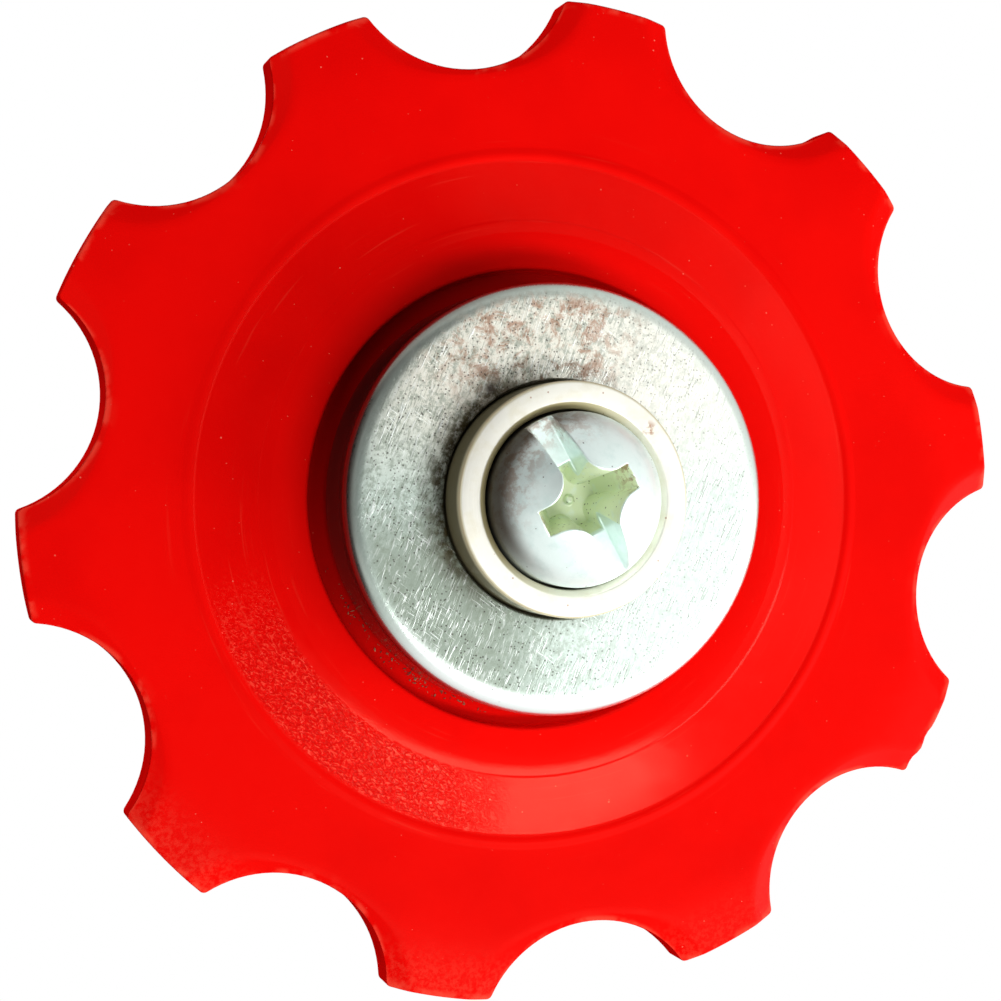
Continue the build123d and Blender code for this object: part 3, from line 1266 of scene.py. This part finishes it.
@dataclass
class PulleyBolt(SubAssembly):
    """Bolt with a slot across its head, a tapered cross recess and a threaded end."""

    name: str = "slotted_bolt"
    body: Body = Body.AXLE
    slot: Slot = Slot.BOLT
    replaced: tuple[str, ...] = ("pulley_bolt",)
    head_seat: float = 5.2
    head_rim: float = 7.05
    head_radius: float = 3.1
    dome_radius: float = 3.5
    shank_radius: float = 1.8
    thread_radius: float = 2.0
    thread_start: float = 6.3
    thread_pitch: float = 0.7
    thread_depth: float = 0.38
    thread_run: float = 0.2
    groove_flat: float = 1.25
    groove_slope: float = 1.5
    end: float = 8.9
    end_chamfer: float = 0.3
    slot_heading: float = -62.0
    slot_width: float = 0.95
    slot_mark: float = 0.5
    wall_run: float = 0.1
    cross_half_length: Span = (2.0, 0.95)
    cross_half_width: Span = (0.5, 0.275)
    cross_corner: Span = (1.05, 0.5)
    cross_depth: float = 3.0
    cross_rounds: int = 16
    cross_mark: float = 0.35
    pip_radius: float = 0.2
    pip_top: float = 0.6
    pip_height: float = 0.16
    edge_rounding: float = 0.05
    worn_rounds: int = 2
    worn_factor: float = 0.35
    margin: float = 0.01
    end_margin: float = 0.0001
    rings: tuple[int, ...] = (96, 4, 2, 2, 0, 36, 4, 3)
    steps: int = 480

    def dome_height(self, radius: float) -> float:
        """Height of the dome above the rim of the head.

        Args:
            radius: distance from the axis.

        Returns:
            The height in millimetres.
        """
        base = math.sqrt(self.dome_radius**2 - self.head_radius**2)
        return math.sqrt(self.dome_radius**2 - min(radius, self.head_radius) ** 2) - base

    def cross_inside(self, along: float, across: float, share: float) -> bool:
        """Tell whether a point lies inside the cross at one depth.

        Args:
            along: place along the slot.
            across: place across the slot.
            share: depth as a share of the whole recess.

        Returns:
            Whether the point is cut away there.
        """
        sizes = (self.cross_half_length, self.cross_half_width, self.cross_corner)
        length, width, corner = (top + (floor - top) * share for top, floor in sizes)
        far, near = max(abs(along), abs(across)), min(abs(along), abs(across))
        if far < width + corner and near < width + corner:
            return math.hypot(width + corner - far, width + corner - near) >= corner or near <= width
        return near <= width and far <= length

    def recess_at(self, x: float, z: float) -> tuple[float, float]:
        """Depths of the slot and of the cross recess below the top of the dome.

        Args:
            x: place along X.
            z: place along Z.

        Returns:
            Both depths in millimetres, 0 where there is none.
        """
        angle = math.radians(self.slot_heading)
        along = x * math.cos(angle) + z * math.sin(angle)
        across = z * math.cos(angle) - x * math.sin(angle)
        half = self.slot_width / 2.0
        wall = smooth_step(half + self.wall_run / 2.0, half - self.wall_run / 2.0, abs(across))
        slot = self.dome_height(0.0) * wall
        if not self.cross_inside(along, across, 0.0):
            return slot, 0.0
        cross = self.cross_depth * last_share(lambda share: self.cross_inside(along, across, share), self.cross_rounds)
        away = math.hypot(along, across)
        pip = self.pip_height * smooth_step(self.pip_radius, self.pip_radius * self.pip_top, away)
        return slot, cross - pip

    def build(self) -> bmesh.types.BMesh:
        """Turn the bolt, then cut the recess into its head and the thread into its end.

        Returns:
            The whole bolt, with the recess stored on its points.
        """
        section = (
            Corner(0.0, -self.head_rim),
            Corner(self.head_radius, -self.head_rim),
            Corner(self.head_radius, -self.head_seat, self.edge_rounding),
            Corner(self.shank_radius, -self.head_seat, self.edge_rounding),
            Corner(self.shank_radius, self.thread_start - self.thread_run),
            Corner(self.thread_radius, self.thread_start),
            Corner(self.thread_radius, self.end - self.end_chamfer),
            Corner(self.thread_radius - self.end_chamfer, self.end),
            Corner(0.0, self.end),
        )
        bolt = turn_profile(section, self.steps, closed=False, rings=self.rings)
        self.cut_head(bolt)
        self.cut_thread(bolt)
        bmesh.ops.remove_doubles(bolt, verts=bolt.verts[:], dist=MERGE_DISTANCE)
        bmesh.ops.dissolve_degenerate(bolt, edges=bolt.edges[:], dist=MERGE_DISTANCE)
        bmesh.ops.recalc_face_normals(bolt, faces=bolt.faces[:])
        return bolt

    def cut_head(self, bolt: bmesh.types.BMesh) -> None:
        """Raise the dome, press the recess into it and round the worn edges.

        Args:
            bolt: mesh of the turned bolt.
        """
        in_cross = bolt.verts.layers.float.new("cross")
        in_slot = bolt.verts.layers.float.new("slot")
        top = self.head_rim + self.dome_height(0.0)
        touched = []
        for vertex in bolt.verts:
            if vertex.co.y > (self.margin - self.head_rim) * MM:
                continue
            x, z = vertex.co.x / MM, vertex.co.z / MM
            surface = self.head_rim + self.dome_height(math.hypot(x, z))
            slot, cross = self.recess_at(x, z)
            floor = top - max(slot, cross)
            vertex.co.y = -min(surface, floor) * MM
            vertex[in_slot] = smooth_step(0.0, self.slot_mark, slot)
            if floor < surface:
                vertex[in_cross] = smooth_step(0.0, self.cross_mark, cross - slot)
                touched.append(vertex)
        ring = {corner for vertex in touched for edge in vertex.link_edges for corner in edge.verts}
        for _ in range(self.worn_rounds):
            bmesh.ops.smooth_vert(bolt, verts=list(ring), factor=self.worn_factor,
                                  use_axis_x=False, use_axis_y=True, use_axis_z=False)

    def cut_thread(self, bolt: bmesh.types.BMesh) -> None:
        """Cut the thread into the end of the bolt.

        Args:
            bolt: mesh of the turned bolt.
        """
        root = self.thread_radius - self.thread_depth
        for vertex in bolt.verts:
            along = vertex.co.y / MM
            radius = math.hypot(vertex.co.x, vertex.co.z) / MM
            if along < self.thread_start or radius < root or along > self.end - self.end_margin:
                continue
            phase = (along / self.thread_pitch + math.atan2(vertex.co.z, vertex.co.x) / math.tau) % 1.0
            groove = min(1.0, max(0.0, self.groove_flat - abs(2.0 * phase - 1.0) * self.groove_slope))
            wanted = min(radius, self.thread_radius - self.thread_depth * groove)
            vertex.co.x *= wanted / radius
            vertex.co.z *= wanted / radius

    def dress(self) -> list[bpy.types.Material]:
        """Give the bolt its pale plate."""
        return [BoltZinc().material()]


@dataclass
class RecessGrime(SubAssembly):
    """Crumbs of dried grease that lie in the recess of the hub beside the cap."""

    name: str = "recess_grime"
    body: Body = Body.WHEEL
    slot: Slot = Slot.WHEEL
    count: int = 130
    seed: int = 7
    inner: float = 7.9
    outer: float = 8.25
    floor: float = 0.72
    heading: float = 229.0
    spread: float = 16.0
    sizes: Span = (0.01, 0.038)
    bedded: float = 0.4
    stretches: tuple[Span, ...] = ((0.4, 2.8), (0.5, 1.0), (0.4, 1.0))

    def build(self) -> bmesh.types.BMesh:
        """Scatter the crumbs along the lower left of the recess.

        Returns:
            All the crumbs as one mesh.
        """
        draw = random.Random(self.seed)
        crumbs = bmesh.new()
        for _ in range(self.count):
            angle = math.radians(draw.gauss(self.heading, self.spread))
            radius = self.inner + (self.outer - self.inner) * draw.random() ** 2
            size = draw.uniform(*self.sizes)
            along = -self.floor - size * self.bedded
            place = Vector((radius * math.cos(angle), along, radius * math.sin(angle))) * MM
            stretch = Matrix.Diagonal((*(draw.uniform(*ends) for ends in self.stretches), 1.0))
            spin = Matrix.Rotation(draw.uniform(0.0, math.tau), 4, "Y")
            bmesh.ops.create_icosphere(crumbs, subdivisions=1, radius=size * MM,
                                       matrix=Matrix.Translation(place) @ spin @ stretch)
        return crumbs

    def dress(self) -> list[bpy.types.Material]:
        """Give the crumbs their dry look."""
        return [DriedGrime().material()]


@dataclass(frozen=True)
class Softbox:
    """Square lamp that faces the wheel."""

    name: str
    azimuth: float
    elevation: float
    distance: float
    width: float
    height: float
    power: float

    def place(self) -> Vector:
        """Work out where the lamp stands, with azimuth 0 in front of the bolt head and 90 to the right.

        Returns:
            The place in metres.
        """
        azimuth, elevation = math.radians(self.azimuth), math.radians(self.elevation)
        out = Vector((math.sin(azimuth) * math.cos(elevation), -math.cos(azimuth) * math.cos(elevation),
                      math.sin(elevation)))
        return out * self.distance * MM

    def light(self) -> None:
        """Set the lamp up, turned to the wheel and hidden from the camera."""
        lamp = bpy.data.lights.new(self.name, "AREA")
        lamp.shape = "RECTANGLE"
        lamp.size = self.width * MM
        lamp.size_y = self.height * MM
        lamp.energy = self.power
        stand = bpy.data.objects.new(self.name, lamp)
        stand.location = self.place()
        stand.rotation_mode = "QUATERNION"
        stand.rotation_quaternion = (-self.place()).to_track_quat("-Z", "Y")
        stand.visible_camera = False
        bpy.context.scene.collection.objects.link(stand)


@dataclass(frozen=True)
class Flag:
    """Dark card that faces the wheel and shows only in reflections."""

    name: str
    place: tuple[float, float, float]
    width: float
    height: float
    colour: Colour = (0.02, 0.02, 0.02)

    def stand(self) -> None:
        """Stand the card up, hidden from the camera and from the light of the lamps."""
        card = bmesh.new()
        bmesh.ops.create_grid(card, x_segments=1, y_segments=1, size=0.5 * MM)
        place = Vector(self.place)
        facing = (-place).to_track_quat("Z", "Y").to_matrix().to_4x4()
        size = Matrix.Diagonal((self.width, self.height, 1.0, 1.0))
        bmesh.ops.transform(card, matrix=Matrix.Translation(place * MM) @ facing @ size, verts=card.verts[:])
        cloth = FinishGraph("flag_cloth", self.colour).dress(Roughness=1.0, Specular_IOR_Level=0.0)
        flag = mesh_object(self.name, card, [cloth])
        flag.visible_camera = False
        flag.visible_diffuse = False
        flag.visible_shadow = False


@dataclass
class Studio:
    """Pale floor, soft lamps, dark flags, white surround and the camera."""

    floor_height: float = -66.0
    floor_radius: float = 92.0
    floor_edge: float = 2.0
    floor_fade: float = 30.0
    floor_segments: int = 128
    floor_colour: Colour = (0.86, 0.86, 0.86)
    fill: float = 0.08
    camera_place: tuple[float, float, float] = (-23.92, -84.1, 0.41)
    camera_forward: tuple[float, float, float] = (0.26421, 0.96445, -0.00559)
    camera_roll: float = 0.15
    lens: float = 82.7
    sensor: float = 36.0
    clip: Span = (1.0, 10000.0)
    softboxes: tuple[Softbox, ...] = (
        Softbox("key_softbox", 66.0, -30.0, 260.0, 220.0, 200.0, 0.97),
        Softbox("low_softbox", 11.0, -26.0, 240.0, 150.0, 38.0, 0.26),
        Softbox("side_softbox", 29.0, 3.0, 260.0, 90.0, 110.0, 0.036),
        Softbox("front_softbox", -48.0, 8.0, 260.0, 200.0, 200.0, 0.245),
        Softbox("back_softbox", 200.0, 30.0, 300.0, 200.0, 200.0, 0.8),
    )
    flags: tuple[Flag, ...] = (
        Flag("front_flag", (-86.0, -112.0, 48.0), 285.0, 205.0),
        Flag("left_flag", (-150.0, 45.0, 0.0), 200.0, 240.0),
    )

    def surround(self) -> None:
        """Make the world white to the eye and in reflections, and a softer fill for the rest."""
        world = bpy.data.worlds.new("white_surround")
        bpy.context.scene.world = world
        world.use_nodes = True
        nodes, links = world.node_tree.nodes, world.node_tree.links
        nodes.clear()
        path = nodes.new("ShaderNodeLightPath")
        seen = path.outputs["Is Camera Ray"]
        for ray in ("Is Glossy Ray", "Is Transmission Ray"):
            either = nodes.new("ShaderNodeMath")
            either.operation = "MAXIMUM"
            links.new(seen, either.inputs[0])
            links.new(path.outputs[ray], either.inputs[1])
            seen = either.outputs[0]
        mixed = nodes.new("ShaderNodeMixShader")
        links.new(seen, mixed.inputs[0])
        for socket, strength in zip(mixed.inputs[1:], (self.fill, 1.0)):
            background = nodes.new("ShaderNodeBackground")
            background.inputs["Color"].default_value = (1.0, 1.0, 1.0, 1.0)
            background.inputs["Strength"].default_value = strength
            links.new(background.outputs[0], socket)
        output = nodes.new("ShaderNodeOutputWorld")
        links.new(mixed.outputs[0], output.inputs["Surface"])

    def floor(self) -> None:
        """Lay a pale round floor that fades out at its edge and stays out of reflections."""
        disc = bmesh.new()
        bmesh.ops.create_circle(disc, cap_ends=True, radius=self.floor_radius * MM,
                                segments=self.floor_segments)
        bmesh.ops.translate(disc, verts=disc.verts[:], vec=Vector((0.0, 0.0, self.floor_height * MM)))
        graph = FinishGraph("pale_floor", self.floor_colour)
        away = graph.vector("LENGTH", graph.vector("MULTIPLY", graph.place, (1.0, 1.0, 0.0)))
        shown = graph.rise(away, self.floor_radius - self.floor_edge, self.floor_radius - self.floor_fade)
        pale = graph.dress(Roughness=0.8, Specular_IOR_Level=0.1, Alpha=shown)
        floor = mesh_object("studio_floor", disc, [pale])
        floor.visible_glossy = False

    def camera(self) -> None:
        """Set the camera to the viewing angle of the photograph."""
        lens = bpy.data.cameras.new("studio_camera")
        lens.lens = self.lens
        lens.sensor_width = self.sensor
        lens.clip_start, lens.clip_end = (distance * MM for distance in self.clip)
        camera = bpy.data.objects.new("studio_camera", lens)
        camera.location = Vector(self.camera_place) * MM
        aim = Vector(self.camera_forward).to_track_quat("-Z", "Y")
        roll = Matrix.Rotation(math.radians(self.camera_roll), 3, "Z").to_quaternion()
        camera.rotation_mode = "QUATERNION"
        camera.rotation_quaternion = aim @ roll
        bpy.context.scene.collection.objects.link(camera)
        bpy.context.scene.camera = camera

    def set_up(self) -> None:
        """Set up the whole studio."""
        bpy.context.scene.view_settings.view_transform = "Standard"
        self.surround()
        self.floor()
        for flag in self.flags:
            flag.stand()
        for softbox in self.softboxes:
            softbox.light()
        self.camera()
        LOG.info("studio with %d softboxes", len(self.softboxes))


def main() -> None:
    """Load the frame, build every piece and set up the studio."""
    logging.basicConfig(level=logging.INFO, format="%(name)s: %(message)s")
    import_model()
    pieces = (
        ToothedWheel(),
        AxleBush(),
        DustCap(name="front_cap", side=Side.FRONT, replaced=("front_dust_cap",)),
        DustCap(name="rear_cap", side=Side.REAR, replaced=("rear_dust_cap",)),
        PulleyBolt(),
        RecessGrime(),
    )
    for piece in pieces:
        piece.seat()
    Studio().set_up()


if __name__ == "__main__":
    main()
